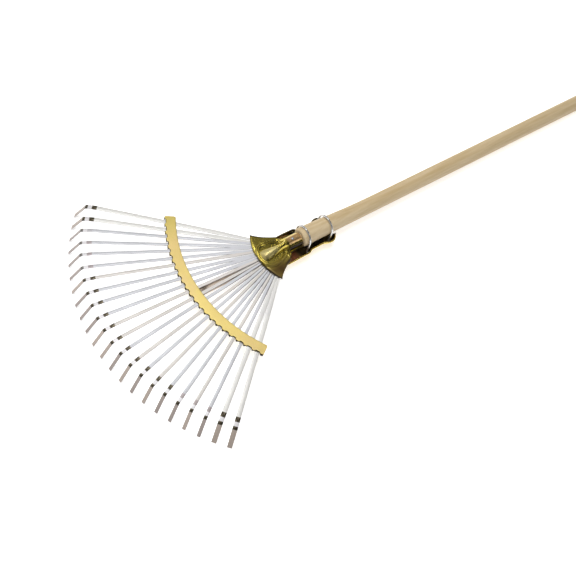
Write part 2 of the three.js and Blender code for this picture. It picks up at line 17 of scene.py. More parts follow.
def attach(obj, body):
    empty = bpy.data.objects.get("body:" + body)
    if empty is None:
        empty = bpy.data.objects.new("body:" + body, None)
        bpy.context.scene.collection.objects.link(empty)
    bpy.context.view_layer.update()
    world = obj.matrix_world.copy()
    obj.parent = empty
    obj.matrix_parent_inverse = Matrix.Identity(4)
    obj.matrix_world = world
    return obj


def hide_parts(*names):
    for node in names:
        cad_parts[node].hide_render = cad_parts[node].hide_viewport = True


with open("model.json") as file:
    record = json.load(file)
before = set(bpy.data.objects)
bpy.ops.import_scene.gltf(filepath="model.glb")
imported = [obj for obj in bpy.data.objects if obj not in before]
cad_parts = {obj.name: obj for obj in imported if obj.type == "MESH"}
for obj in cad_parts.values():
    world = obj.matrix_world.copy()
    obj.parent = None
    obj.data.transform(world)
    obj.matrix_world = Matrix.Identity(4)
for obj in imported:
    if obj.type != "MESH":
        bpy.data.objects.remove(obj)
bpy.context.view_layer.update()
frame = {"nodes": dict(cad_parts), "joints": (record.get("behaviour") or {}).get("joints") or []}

# ---- driving dimensions, in millimetres, as in the CAD model ----
TINES = 22
FAN_HALF = math.radians(42)
PEG_ARC = 42.0
EYE_R = 2.7
EYE_HOLE_R = 1.8
EYE_OVERLAP = 0.7
EYE_SIDES = 24
BEND_R = 347.5
KINK_INSET = 17.3
KINK_DROP = 2.4
KINK_R = 14.0
HOOK_R = 3.4
HOOK_REACH = 19.6
HOOK_DROP = 35.5
TINE_T = 1.1
TINE_EDGE_R = 0.28
TINE_W = 6.0
WIDE_TINE_W = 8.2
TINE_TAPER = 1 / 15
LAYER = 0.75
WARM_TINES = (7, 11, 12, 14, 16, 19)

HANDLE_SIDES = 64
HANDLE_END = 1212.0
HANDLE_R = 13.9
HANDLE_Z = 4.8
SWELL_R = 3.1
SWELL_Z = 7.2
SWELL_X = 95.0
SWELL_RATE = 28.0
TENON_R = 10.6
TENON_Z = 9.5
TENON_X = -2.0
TENON_CHAMFER = 1.0
SHOULDER_X = 24.0
SHOULDER_ROUND = 3.0
BUTT_FACE_R = 6.0
BUTT_DOME = 14.0

HOOD_T = 1.2
MOUTH_X = -60.5
MOUTH_R = 88.4
MOUTH_HALF = 50.0
BACK_X = -12.0
BACK_HALF = 26.0
NECK_X = -3.0
NECK_END = 22.5
NECK_GAP = 0.3
HOOD_EDGE_Z = 3.8
HOOD_CROWN = 2.4
MEDAL_X = -40.0
MEDAL_HALF = 24.0
MEDAL_FRONT = 20.0
MEDAL_BACK = 36.5
MEDAL_Z = 8.6
MEDAL_SINK = 0.45
BEAD_RISE = 0.75
BOSS_X = (-54.0, -10.0)
BOSS_HALF = (12.5, 6.0)
BOSS_Z = (12.6, 20.6)
RIB_PITCH = 3.6
RIB_RISE = 0.16
DIMPLES = ((-28.0, 11.5), (-22.0, 10.5))
DIMPLE_DEPTH = 0.7
NAIL_X = 7.0
NAIL_R = 2.6
NAIL_RISE = 1.25
NAIL_SIDES = 28

RIM_FRONT_Z = -3.3
RIM_Z = -2.2
CURL_R = 1.6
FLOOR_Z = -23.0
TOE_X = -16.0
TOE_Z = -7.0
TOE_END_X = 6.0
TAIL_X = 94.0
TAIL_Z = -12.0
TROUGH_T = 1.1

STAY_Z = -4.4
STAY_T = 1.5
STAY_EDGE_R = 0.4
STAY_BEND_R = 6.0
STAY_HALF = 9.0
STAY_ABOVE_TOE = 2.1
BAR_X = 90.0
BAR_IN = 267.3
BAR_OUT = 287.2
BAR_HALF = math.radians(32)
BAR_TOP_Z = 3.4
BAR_T = 1.0
BAR_CORNER = 3.2
BAR_FOLD = 1.3
BAR_LIP = 0.7
FLANGE_Z = -1.6
SCALLOP = 2.5
SLOT_SLACK = 2.8

WIRE_R = 1.75
WIRE_SIDES = 18
BAIL_HINGE_Z = -11.0
BAIL_LEAN = math.radians(4)
BAIL_BEND = 3.0
BAILS = {
    "front": {"x": 30.5, "leg": 19.2, "crown": 30.5, "foot": 24.9},
    "rear": {"x": 78.0, "leg": 18.9, "crown": 29.3, "foot": 24.7},
}

# ---- the level frame, from the joints ----
joints = {joint["name"]: joint for joint in frame["joints"]}
forward = Vector(joints["fan_adjust"]["axis"]).normalized()
up = Vector(joints["tine_01_swing"]["axis"]).normalized()
side = up.cross(forward)
pegs = [Vector(joints[f"tine_{i:02d}_swing"]["pos_m"]) for i in (1, TINES)]
origin = (pegs[0] + pegs[1]) / 2 + forward * (PEG_ARC * math.cos(FAN_HALF) / 1000)
LEVEL = Matrix.Translation(origin) @ Matrix((forward, side, up)).transposed().to_4x4()
TO_ROW = LEVEL @ Matrix.Scale(0.001, 4)


# ---- mesh helpers ----
def smooth(x, low, high):
    """0 below low, 1 above high, with an even S-curve between them."""
    t = np.clip((np.asarray(x, float) - low) / (high - low), 0, 1)
    return t * t * (3 - 2 * t)


def lerp(a, b, t):
    return a + (b - a) * t


def new_piece(name, points, faces, body, material, node, sharp=50.0, values=None):
    """A mesh object from points in the level frame that rides on a CAD body and stands for a node.
    Edges over sharp degrees stay crisp; values holds numbers per point, by name, for its material."""
    mesh = bpy.data.meshes.new(name)
    mesh.from_pydata([tuple(p) for p in np.asarray(points, float)], [], faces)
    for key, numbers in (values or {}).items():
        attribute = mesh.attributes.new(key, "FLOAT", "POINT")
        attribute.data.foreach_set("value", np.asarray(numbers, np.float32))
    mesh.transform(TO_ROW)
    work = bmesh.new()
    work.from_mesh(mesh)
    bmesh.ops.recalc_face_normals(work, faces=work.faces)
    work.to_mesh(mesh)
    work.free()
    mesh.shade_smooth()
    mesh.set_sharp_from_angle(angle=math.radians(sharp))
    mesh.materials.append(material)
    piece = bpy.data.objects.new(name, mesh)
    bpy.context.scene.collection.objects.link(piece)
    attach(piece, body)
    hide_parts(node)


def loft(rings):
    """Faces through a row of closed outlines, with a face on each end."""
    rings = np.asarray(rings, float)
    count, n = rings.shape[:2]
    faces = []
    for i in range(count - 1):
        for j in range(n):
            a, b = i * n + j, i * n + (j + 1) % n
            faces.append((a, b, b + n, a + n))
    faces.append(tuple(range(n)))
    faces.append(tuple(range((count - 1) * n, count * n)))
    return rings.reshape(-1, 3), faces


def sheet(top, thickness):
    """A sheet of even thickness under a grid of points, with a rounded rim."""
    rows, cols = top.shape[:2]
    normal = np.cross(np.gradient(top, axis=0), np.gradient(top, axis=1))
    normal /= np.maximum(np.linalg.norm(normal, axis=2, keepdims=True), 1e-9)
    under = top - normal * thickness
    count = rows * cols
    faces = []
    for i in range(rows - 1):
        for j in range(cols - 1):
            a = i * cols + j
            quad = (a, a + cols, a + cols + 1, a + 1)
            faces.append(quad)
            faces.append(tuple(count + k for k in reversed(quad)))
    border = [(0, j) for j in range(cols - 1)]
    border += [(i, cols - 1) for i in range(rows - 1)]
    border += [(rows - 1, j) for j in range(cols - 1, 0, -1)]
    border += [(i, 0) for i in range(rows - 1, 0, -1)]
    bulge = 0.35 * thickness
    rim = []
    for i, j in border:
        inner = (min(max(i, 1), rows - 2), min(max(j, 1), cols - 2))
        middle = (top[i, j] + under[i, j]) / 2
        outward = middle - (top[inner] + under[inner]) / 2
        rim.append(middle + outward / max(np.linalg.norm(outward), 1e-9) * bulge)
    for k, (i, j) in enumerate(border):
        after = (k + 1) % len(border)
        a = i * cols + j
        b = border[after][0] * cols + border[after][1]
        faces.append((a, b, 2 * count + after, 2 * count + k))
        faces.append((2 * count + k, 2 * count + after, count + b, count + a))
    points = np.concatenate([top.reshape(-1, 3), under.reshape(-1, 3), np.array(rim)])
    return points, faces


def wire(line, radius):
    """Outlines of a round wire along a line in the plane x = 0; line holds (y, z)."""
    line = np.asarray(line, float)
    along = np.gradient(line, axis=0)
    along /= np.linalg.norm(along, axis=1, keepdims=True)
    turn = np.linspace(0, 2 * math.pi, WIRE_SIDES, endpoint=False)
    rings = np.zeros((len(line), WIRE_SIDES, 3))
    rings[:, :, 0] = radius * np.sin(turn)
    rings[:, :, 1] = line[:, :1] + radius * np.cos(turn) * along[:, 1:]
    rings[:, :, 2] = line[:, 1:] - radius * np.cos(turn) * along[:, :1]
    return rings


def strap_rings(line, width, thickness, corner):
    """Outlines of a flat strap with rounded edges along a line of (x, z); width per point. Each
    outline has four points on each of its four corners, counted from +y, +z."""
    line = np.asarray(line, float)
    along = np.gradient(line, axis=0)
    along /= np.linalg.norm(along, axis=1, keepdims=True)
    across = np.stack([-along[:, 1], along[:, 0]], axis=1)
    outline = []
    for start, sy, sz in ((0, 1, 1), (90, -1, 1), (180, -1, -1), (270, 1, -1)):
        for k in range(4):
            a = math.radians(start + 30 * k)
            outline.append((sy, sz, corner * math.cos(a), corner * math.sin(a)))
    rings = np.zeros((len(line), len(outline), 3))
    for k, (sy, sz, dy, dz) in enumerate(outline):
        rise = sz * (thickness / 2 - corner) + dz
        rings[:, k, 0] = line[:, 0] + across[:, 0] * rise
        rings[:, k, 1] = sy * (width / 2 - corner) + dy
        rings[:, k, 2] = line[:, 1] + across[:, 1] * rise
    return rings


def strap_values(rings, along):
    """Numbers per point for a strap's material: how far along, how far across, and 1 on the half of
    each corner that is nearer to the strap's sheared sides."""
    flank = [1, 1, 0, 0, 0, 0, 1, 1] * 2
    return {"along": np.repeat(along, len(flank)), "across": rings[:, :, 1].ravel(),
            "flank": np.tile(flank, len(rings))}


def rounded_line(corners, radii, step):
    """Points along a polyline whose inner corners are curves that start as far out as an arc of the
    given radius would, with straight stretches cut into parts of about step."""
    corners = [np.array(c, float) for c in corners]
    points = [corners[0]]
    for k in range(1, len(corners) - 1):
        before, here, after = corners[k - 1], corners[k], corners[k + 1]
        u = (before - here) / np.linalg.norm(before - here)
        v = (after - here) / np.linalg.norm(after - here)
        half = math.acos(np.clip(np.dot(u, v), -1, 1)) / 2
        reach = radii[k - 1] / math.tan(half)
        for t in np.linspace(0, 1, 9):
            start, end = here + u * reach, here + v * reach
            points.append((1 - t) ** 2 * start + 2 * t * (1 - t) * here + t * t * end)
    points.append(corners[-1])
    line = [points[0]]
    for a, b in zip(points, points[1:]):
        parts = max(1, int(np.linalg.norm(b - a) / step))
        line += [a + (b - a) * (k + 1) / parts for k in range(parts)]
    return np.array(line)


# ---- material helpers ----
# where a Mix node of colours has its two colours and its result
MIX_A = 6
MIX_B = 7
MIX_RESULT = 2


def colour(red, green, blue):
    """A linear colour from an sRGB one on the scale of 0 to 255."""
    def linear(value):
        value /= 255
        return value / 12.92 if value <= 0.04045 else ((value + 0.055) / 1.055) ** 2.4
    return (linear(red), linear(green), linear(blue), 1.0)


def shaded(tint, share):
    """A linear colour with only a share of its brightness."""
    return tuple(share * c for c in tint[:3]) + (1.0,)


class Shader:
    """A new material and short calls that add nodes to it."""

    def __init__(self, name):
        self.material = bpy.data.materials.new(name)
        self.material.use_nodes = True
        self.nodes = self.material.node_tree.nodes
        self.links = self.material.node_tree.links
        self.base = self.nodes["Principled BSDF"]

    def add(self, kind, inputs=(), **settings):
        node = self.nodes.new(kind)
        for key, value in settings.items():
            setattr(node, key, value)
        for key, value in dict(inputs).items():
            self.put(node.inputs[key], value)
        return node

    def put(self, socket, value):
        if isinstance(value, bpy.types.NodeSocket):
            self.links.new(value, socket)
        else:
            socket.default_value = value

    def set(self, **inputs):
        for key, value in inputs.items():
            self.put(self.base.inputs[key.replace("_", " ")], value)

    def values(self, name):
        """The numbers per point that the piece carries under this name."""
        return self.add("ShaderNodeAttribute", attribute_name=name).outputs["Fac"]

    def place(self, scale=(1, 1, 1)):
        """Places on the object, in metres, with each axis scaled."""
        where = self.add("ShaderNodeTexCoord").outputs["Object"]
        return self.add("ShaderNodeMapping", {"Vector": where, "Scale": scale}).outputs["Vector"]

    def noise(self, vector, scale, detail=3.0, rough=0.5):
        inputs = {"Vector": vector, "Scale": scale, "Detail": detail, "Roughness": rough}
        return self.add("ShaderNodeTexNoise", inputs).outputs["Fac"]

    def spread(self, value, low, high, to_low=0.0, to_high=1.0):
        """The value's range from low to high, mapped to another range and held at its ends."""
        inputs = {"Value": value, "From Min": low, "From Max": high, "To Min": to_low, "To Max": to_high}
        return self.add("ShaderNodeMapRange", inputs).outputs["Result"]

    def mix(self, fac, a, b):
        node = self.add("ShaderNodeMix", data_type="RGBA")
        self.put(node.inputs["Factor"], fac)
        self.put(node.inputs[MIX_A], a)
        self.put(node.inputs[MIX_B], b)
        return node.outputs[MIX_RESULT]

    def math(self, operation, a, b=0.0):
        node = self.add("ShaderNodeMath", operation=operation)
        self.put(node.inputs[0], a)
        self.put(node.inputs[1], b)
        return node.outputs[0]

    def bump(self, height, strength, distance):
        inputs = {"Height": height, "Strength": strength, "Distance": distance}
        self.set(Normal=self.add("ShaderNodeBump", inputs).outputs["Normal"])


def wood_material():
    """Bare turned ash: soft streaks, a few darker year rings and fine fibres, all along the pole."""
    s = Shader("turned_ash")
    grain = s.noise(s.place((14, 260, 260)), 1.6, 6.0, 0.6)
    streaks = s.noise(s.place((5, 90, 90)), 1.5, 3.0, 0.5)
    fibres = s.noise(s.place((60, 1500, 1500)), 1.0, 4.0, 0.6)
    tone = s.mix(s.spread(streaks, 0.35, 0.68), colour(214, 194, 158), colour(196, 172, 130))
    tone = s.mix(s.spread(grain, 0.52, 0.74, 0.0, 0.3), tone, colour(178, 150, 110))
    tone = s.mix(s.spread(fibres, 0.45, 0.75, 0.0, 0.14), tone, colour(150, 122, 84))
    s.set(Base_Color=tone, Roughness=s.spread(grain, 0.3, 0.7, 0.5, 0.62))
    s.bump(fibres, 0.25, 0.0003)
    return s.material


def gold_material(name, deep, bright, brown, rough):
    """Yellow-passivated sheet steel: glossy, with cloudy tints. The point values say where coppery light is
    painted on it, where a pale highlight is painted, where it is brown, partly as painted shade, and where
    painted shade makes it black."""
    s = Shader(name)
    cloud = s.noise(s.place(), 30.0, 2.0, 0.5)
    fine = s.noise(s.place(), 420.0, 3.0, 0.6)
    copper_painted_light = s.values("copper_painted_light")
    painted_highlight = s.values("painted_highlight")
    brown_and_painted_shade = s.values("brown_and_painted_shade")
    painted_shade = s.values("painted_shade")
    tone = s.mix(s.spread(cloud, 0.3, 0.7), deep, bright)
    # brown where the values say: painted shade on the hood's near side, a reddish-brown patch inside the
    # trough
    tone = s.mix(s.math("MULTIPLY", brown_and_painted_shade, s.spread(cloud, 0.2, 0.7, 1.0, 0.75)), tone, brown)
    # painted coppery light
    tone = s.mix(copper_painted_light, tone, colour(250, 206, 146))
    # painted pale highlight
    tone = s.mix(s.math("MULTIPLY", painted_highlight, 0.7), tone, colour(252, 236, 172))
    # painted shade, near black
    tone = s.mix(s.math("MULTIPLY", painted_shade, s.spread(cloud, 0.4, 0.62, 1.0, 0.88)), tone, colour(40, 27, 20))
    polish = s.spread(fine, 0.3, 0.7, rough * 0.8, rough * 1.25)
    dull = s.math("ADD", s.math("MULTIPLY", copper_painted_light, 0.14), s.math("MULTIPLY", painted_shade, 0.2))
    dull = s.math("ADD", dull, s.math("MULTIPLY", s.math("MAXIMUM", painted_highlight, brown_and_painted_shade), 0.2))
    s.set(Base_Color=tone, Metallic=s.spread(brown_and_painted_shade, 0.0, 1.0, 1.0, 0.5))
    s.set(Roughness=s.math("ADD", polish, dull))
    s.set(Coat_Weight=0.15, Coat_Roughness=0.1)
    s.bump(fine, 0.08, 0.0002)
    return s.material


def pale_gold_material():
    """The bar's paler plating, more olive towards one end, with painted shade on the scalloped turned-down
    outer edge, along the inner lip and on the rim.
    """
    s = Shader("pale_passivated_sheet")
    cloud = s.noise(s.place(), 16.0, 2.0, 0.5)
    fine = s.noise(s.place(), 900.0, 2.0, 0.6)
    olive = s.values("olive")
    painted_shade = s.values("painted_shade")
    tone = s.mix(s.spread(cloud, 0.38, 0.62), colour(232, 206, 130), colour(242, 218, 132))
    tone = s.mix(s.spread(s.noise(s.place(), 30.0), 0.5, 0.72, 0.0, 0.5), tone, colour(234, 204, 150))
    tone = s.mix(olive, tone, colour(212, 192, 104))
    tone = s.mix(s.spread(fine, 0.5, 0.75, 0.0, 0.2), tone, colour(180, 156, 92))
    # painted shade, near black
    tone = s.mix(painted_shade, tone, colour(32, 24, 7))
    rough = s.math("ADD", s.spread(fine, 0.3, 0.7, 0.36, 0.48), s.math("MULTIPLY", painted_shade, 0.3))
    s.set(Base_Color=tone, Metallic=0.35, Roughness=rough)
    s.bump(fine, 0.12, 0.0002)
    return s.material


def stay_material():
    """Bright strap with brown rolled streaks and painted shadow where it runs under the bar."""
    s = Shader("stay_steel")
    along = s.values("along")
    across = s.values("across")
    strip = s.add("ShaderNodeCombineXYZ", {"X": s.math("MULTIPLY", along, 0.01), "Y": across})
    streak = s.noise(strip.outputs["Vector"], 0.7, 3.0, 0.6)
    tone = s.mix(s.spread(streak, 0.5, 0.62), colour(238, 222, 206), colour(112, 78, 62))
    cloud = s.noise(s.place(), 90.0, 2.0, 0.6)
    # painted shadow where the strap runs under the bar, with an uneven edge
    near_bar = s.math("ADD", along, s.spread(cloud, 0.3, 0.7, -9.0, 9.0))
    tone = s.mix(s.spread(near_bar, 160, 176), tone, colour(52, 42, 24))
    s.set(Base_Color=tone, Metallic=0.4, Roughness=s.spread(streak, 0.3, 0.7, 0.28, 0.42))
    return s.material


def steel_material(name, tint, hook_tint, dim):
    """Brushed bright tine with painted shade on its sheared sides near the hood, painted dark reflections in
    bands at its kink and bend, and a hook greyed by painted shade. Beyond the bar it has only the share dim
    of its brightness. The point values say how far along and across the tine a place is."""
    s = Shader(name)
    along = s.values("along")
    across = s.values("across")
    flank = s.values("flank")
    kinked = s.values("kinked")
    bend_reflection = s.values("bend_reflection")
    edge_shadow_amount = s.values("edge_shadow_amount")
    strip = s.add("ShaderNodeCombineXYZ", {"X": s.math("MULTIPLY", along, 0.02), "Y": across})
    brushed = s.noise(strip.outputs["Vector"], 1.3, 4.0, 0.6)
    cloud = s.noise(s.place(), 26.0, 2.0, 0.5)
    hatch = s.add("ShaderNodeCombineXYZ", {"X": s.math("MULTIPLY", along, 0.12), "Y": across})
    hatching = s.noise(hatch.outputs["Vector"], 1.1, 2.0, 0.6)
    streaks = s.spread(brushed, 0.35, 0.65)
    inner = s.mix(streaks, shaded(tint, 1.0), shaded(tint, 0.9))
    inner = s.mix(s.spread(cloud, 0.45, 0.7, 0.0, 0.2), inner, colour(200, 198, 206))
    outer = s.mix(streaks, shaded(tint, 1.03 * dim), shaded(tint, 0.93 * dim))
    tone = s.mix(s.spread(along, 150, 240), inner, outer)
    dark = s.mix(s.spread(hatching, 0.46, 0.56), colour(30, 26, 18), colour(116, 106, 86))

    def band(start, end, blur=0.4):
        rise = s.spread(along, start - blur, start + blur)
        fall = s.spread(along, end - blur, end + blur, 1.0, 0.0)
        return s.math("MULTIPLY", rise, fall)

    kink = BEND_R - KINK_INSET
    hook = BEND_R + 1.6
    # painted dark reflection: a band at the kink, lighter on lightly kinked tines, and a band at the bend
    lightly = s.mix(streaks, colour(182, 171, 171), colour(152, 140, 140))
    kink_reflection = s.mix(s.spread(kinked, 0.5, 0.85), lightly, dark)
    kink_band = s.math("MULTIPLY", band(kink - 1.2, kink + 7.2), s.spread(kinked, 0.0, 0.5))
    tone = s.mix(kink_band, tone, kink_reflection)
    bend_band = s.math("MULTIPLY", band(BEND_R - 3.2, hook), bend_reflection)
    tone = s.mix(bend_band, tone, dark)
    bands = s.math("ADD", s.math("MULTIPLY", kink_band, kinked), bend_band)
    tone = s.mix(band(kink + 7.2, BEND_R - 3.2), tone, colour(227, 225, 227))
    # painted shade: the hook greyer, darker towards its tip
    grey = s.mix(s.spread(along, hook, BEND_R + HOOK_REACH), hook_tint, shaded(hook_tint, 0.84))
    grey = s.mix(s.math("MULTIPLY", streaks, 0.5), grey, shaded(hook_tint, 0.7))
    tone = s.mix(s.spread(along, hook - 0.4, hook + 0.4), tone, grey)
    # a painted shadow line along one edge, 1.5 mm wide at the hood and gone 75 mm further out
    edge_shadow_line = s.spread(s.math("ADD", across, s.math("MULTIPLY", along, 0.02)), -0.15, 0.55, 1.0, 0.0)
    edge_shadow_line = s.math("MULTIPLY", s.math("MULTIPLY", edge_shadow_line, edge_shadow_amount), s.spread(hatching, 0.35, 0.6, 1.0, 0.6))
    tone = s.mix(edge_shadow_line, tone, colour(46, 36, 32))
    # painted shade on the sheared sides, dark near the hood and light further out
    edge = s.mix(s.spread(along, 140, 260), colour(24, 20, 18), colour(206, 204, 208))
    tone = s.mix(s.math("MULTIPLY", flank, 0.85), tone, edge)
    s.set(Base_Color=tone, Metallic=s.spread(bands, 0.0, 1.0, 0.25, 0.6))
    s.set(Roughness=s.spread(brushed, 0.3, 0.7, 0.3, 0.44))
    return s.material


def plain_steel(name, tint, rough, metallic):
    """Plated steel with a fine grain in its tint and gloss."""
    s = Shader(name)
    fine = s.noise(s.place(), 700.0, 3.0, 0.6)
    tone = s.mix(s.spread(fine, 0.35, 0.65), tint, shaded(tint, 0.82))
    s.set(Base_Color=tone, Metallic=metallic, Roughness=s.spread(fine, 0.3, 0.7, rough * 0.7, rough * 1.3))
    s.bump(fine, 0.05, 0.0001)
    return s.material


# ---- handle ----
def swell(x):
    return 1 / (1 + np.exp((x - SWELL_X) / SWELL_RATE))


def handle_radius(x):
    return HANDLE_R + SWELL_R * swell(x)


def handle_height(x):
    return HANDLE_Z + SWELL_Z * swell(x)


def make_handle(material):
    """The pole: tenon, rounded shoulder, the swell that fades out, and the domed butt."""
    stations = [(TENON_X, TENON_R - TENON_CHAMFER, TENON_Z), (TENON_X + TENON_CHAMFER, TENON_R, TENON_Z),
                (SHOULDER_X, TENON_R, TENON_Z)]
    end_r, end_z = handle_radius(SHOULDER_X), handle_height(SHOULDER_X)
    for a in np.linspace(0, math.pi / 2, 7):
        x = SHOULDER_X + 0.05 + SHOULDER_ROUND * (1 - math.cos(a))
        stations.append((x, end_r - SHOULDER_ROUND + SHOULDER_ROUND * math.sin(a), end_z))
    for x in list(range(30, 210, 6)) + list(range(230, int(HANDLE_END - BUTT_DOME), 60)):
        stations.append((x, handle_radius(x), handle_height(x)))
    for a in np.linspace(0, math.pi / 2, 12):
        r = lerp(BUTT_FACE_R, handle_radius(HANDLE_END), math.cos(a))
        stations.append((HANDLE_END - BUTT_DOME * (1 - math.sin(a)), r, HANDLE_Z))
    turn = np.linspace(0, 2 * math.pi, HANDLE_SIDES, endpoint=False)
    rings = []
    for x, r, z in stations:
        rings.append(np.stack([np.full(HANDLE_SIDES, x), r * np.cos(turn), z + r * np.sin(turn)], axis=1))
    points, faces = loft(rings)
    new_piece("handle_wood", points, faces, "head", material, "handle", 40.0)


# ---- hood ----
def medallion_level(x, y):
    """1 on the medallion's outer bead, less inside: round at the mouth, narrower at the neck."""
    back = x > MEDAL_X
    power = np.where(back, 1.75, 2)
    reach = np.abs(x - MEDAL_X) / np.where(back, MEDAL_BACK, MEDAL_FRONT)
    return ((np.abs(y) / MEDAL_HALF) ** power + reach ** power) ** (1 / power)


def bead(level, centre, width, height):
    return height * np.exp(-((level - centre) / width) ** 2)


def rib_arch(x, y):
    """1 along the ribbed boss's crown, 0 at its foot and outside it."""
    half = lerp(*BOSS_HALF, smooth(x, *BOSS_X))
    across = np.clip(np.abs(y) / half, 0, 1)
    return (1 - across ** 2) ** 1.5 * 0.5 + np.sqrt(np.clip(1 - across ** 4, 0, 1)) * 0.5


def cover_height(x, y):
    """The hood's top over its plate: crowned, with the medallion, its two beads and the ribbed boss."""
    level = medallion_level(x, y)
    base = HOOD_EDGE_Z + HOOD_CROWN * (1 - (y / MOUTH_HALF) ** 2)
    raised = lerp(base, MEDAL_Z, 1 - smooth(level, 0.99, 1.1))
    raised = raised + bead(level, 1.0, 0.034, BEAD_RISE) + bead(level, 0.855, 0.03, BEAD_RISE)
    raised = raised - MEDAL_SINK * (1 - smooth(level, 0.77, 0.82))
    rib_top = lerp(*BOSS_Z, np.clip((x - BOSS_X[0]) / (BOSS_X[1] - BOSS_X[0]), 0, 1.1))
    arch = rib_arch(x, y)
    start = smooth(x - 0.03 * y ** 2, -56.0, -49.5)
    ridge = (rib_top - MEDAL_Z) * arch * start
    waves = RIB_RISE * np.cos(2 * math.pi * (x - 0.02 * y ** 2 + 20) / RIB_PITCH)
    waves = waves * smooth(arch, 0.15, 0.5) * smooth(x, -53, -49) * (1 - smooth(x, -17, -13))
    dimples = 0
    for dx, dy in DIMPLES:
        spot = (x - dx) ** 2 + (np.abs(y) - dy) ** 2
        dimples = dimples - DIMPLE_DEPTH * np.exp(-spot / 0.5)
    return raised + ridge + waves + dimples


def neck_section(x, t):
    """Half of the neck's section, from its crown at t = 0 to its flared rim at t = 1: y and z."""
    round_share = 0.6
    radius = TENON_R + NECK_GAP + HOOD_T
    a = np.clip(t / round_share, 0, 1) * math.radians(82)
    arc_y, arc_z = radius * np.sin(a), TENON_Z + radius * np.cos(a)
    line = np.array([[11.98, 11.18], [12.05, 7.6], [12.7, 6.3], [13.2, 8.4]])
    at = np.clip((t - round_share) / (1 - round_share), 0, 1) * (len(line) - 1)
    flare = np.clip(at - 2, 0, 1) * lerp(2.4, 0.4, smooth(x, NECK_X, NECK_END))
    flat_y = np.interp(at, range(len(line)), line[:, 0]) + flare
    flat_z = np.interp(at, range(len(line)), line[:, 1])
    return np.where(t <= round_share, arc_y, flat_y), np.where(t <= round_share, arc_z, flat_z)


def make_hood(material):
    """The hood: a plate whose sides fold down, turning into the neck at its back. u runs from mouth to
    neck and v across, from -1 on the near rim to 1 on the far rim."""
    u = np.concatenate([np.arange(MOUTH_X, NECK_X + 1, 0.42), np.linspace(NECK_X + 1.6, NECK_END, 40)])
    t = np.concatenate([np.linspace(0, 0.86, 104), np.linspace(0.867, 1, 18)])
    v = np.concatenate([-t[:0:-1], t])
    u, v = np.meshgrid(u, v, indexing="ij")
    t = np.abs(v)
    back = np.clip((u - MOUTH_X) / (BACK_X - MOUTH_X), 0, 1)
    half = lerp(MOUTH_HALF, BACK_HALF, back)
    plate_y = np.minimum(1, t / 0.92) * half
    sag = MOUTH_R - np.sqrt(MOUTH_R ** 2 - plate_y ** 2)
    x = u + sag * (1 - back)
    fold = smooth(t, 0.885, 1) * lerp(2.4, 6.2, smooth(back, 0.2, 0.75))
    lip = np.clip(1 - (u - MOUTH_X) / 6, 0, 1) ** 2 * lerp(1.5, 0.4, np.clip(t, 0, 1) ** 2)
    plate_z = cover_height(x, plate_y) - fold - lip
    neck_y, neck_z = neck_section(u, t)
    k = smooth(u, BACK_X, NECK_X)
    y = np.sign(v) * lerp(plate_y, neck_y, k)
    z = lerp(plate_z, neck_z, k)
    points, faces = sheet(np.stack([x, y, z], axis=2), HOOD_T)
    # painted copper highlight along the neck's top
    copper_painted_light = smooth(points[:, 0], NECK_X - 3, NECK_X + 3) * (1 - smooth(np.abs(points[:, 1]), 5.5, 9))
    # painted shade: the plate turns brown towards its near side
    brown_and_painted_shade = smooth(-points[:, 1], 7, 32)
    # painted shade on the neck's near flank
    painted_shade = smooth(points[:, 0], BACK_X, NECK_X) * smooth(-points[:, 1], 8.5, 10.5)
    painted_shade = painted_shade * smooth(points[:, 2], 6.5, 8.5)
    # painted shade along the mouth's edge, the far back edge, the near heel and the whole rim
    near = smooth(-v, 0.0, 0.4)
    mouth = (1 - smooth(u - MOUTH_X, lerp(0.7, 1.9, near), lerp(1.3, 2.9, near))) * lerp(0.7, 0.97, near)
    far_edge = smooth(v, 0.83, 0.88) * (1 - k) * 0.95
    heel = smooth(-v, 0.74, 0.88) * smooth(back, 0.6, 0.85) * (1 - k) * 0.85
    dark_edge = np.maximum(np.maximum(mouth, far_edge), heel).ravel()
    rim = np.full(len(points) - 2 * u.size, 0.8)
    painted_shade = np.maximum(painted_shade, np.concatenate([dark_edge, dark_edge, rim]))
    # painted highlight on the front of the ribbed boss
    painted_highlight = rib_arch(points[:, 0], points[:, 1]) * smooth(points[:, 0], -57, -51)
    painted_highlight = smooth(painted_highlight, 0.35, 0.8) * (1 - smooth(points[:, 0], -34, -16))
    values = {"copper_painted_light": copper_painted_light, "painted_highlight": painted_highlight, "brown_and_painted_shade": brown_and_painted_shade, "painted_shade": painted_shade}
    new_piece("hood_shell", points, faces, "head", material, "hood", 60.0, values)


# ---- nail ----
def make_nail(material):
    """The nail's low domed head on the neck, with a short shank below."""
    shank_r = 0.55 * NAIL_R
    profile = [(shank_r, -1.6 * NAIL_RISE), (shank_r, -0.02), (NAIL_R, 0.0), (NAIL_R, 0.25 * NAIL_RISE)]
    for a in np.linspace(0.2, 1.45, 7):
        profile.append((NAIL_R * math.cos(a), NAIL_RISE * (0.25 + 0.75 * math.sin(a))))
    turn = np.linspace(0, 2 * math.pi, NAIL_SIDES, endpoint=False)
    neck_top = TENON_Z + TENON_R + NECK_GAP + HOOD_T
    rings = []
    for r, z in profile:
        rings.append(np.stack([r * np.cos(turn), r * np.sin(turn), np.full(NAIL_SIDES, z)], axis=1))
    points, faces = loft(rings)
    place = Matrix.Translation((NAIL_X, 0, neck_top))
    points = [place @ Vector(p) for p in points]
    new_piece("nail_head", points, faces, "head", material, "neck_nail")


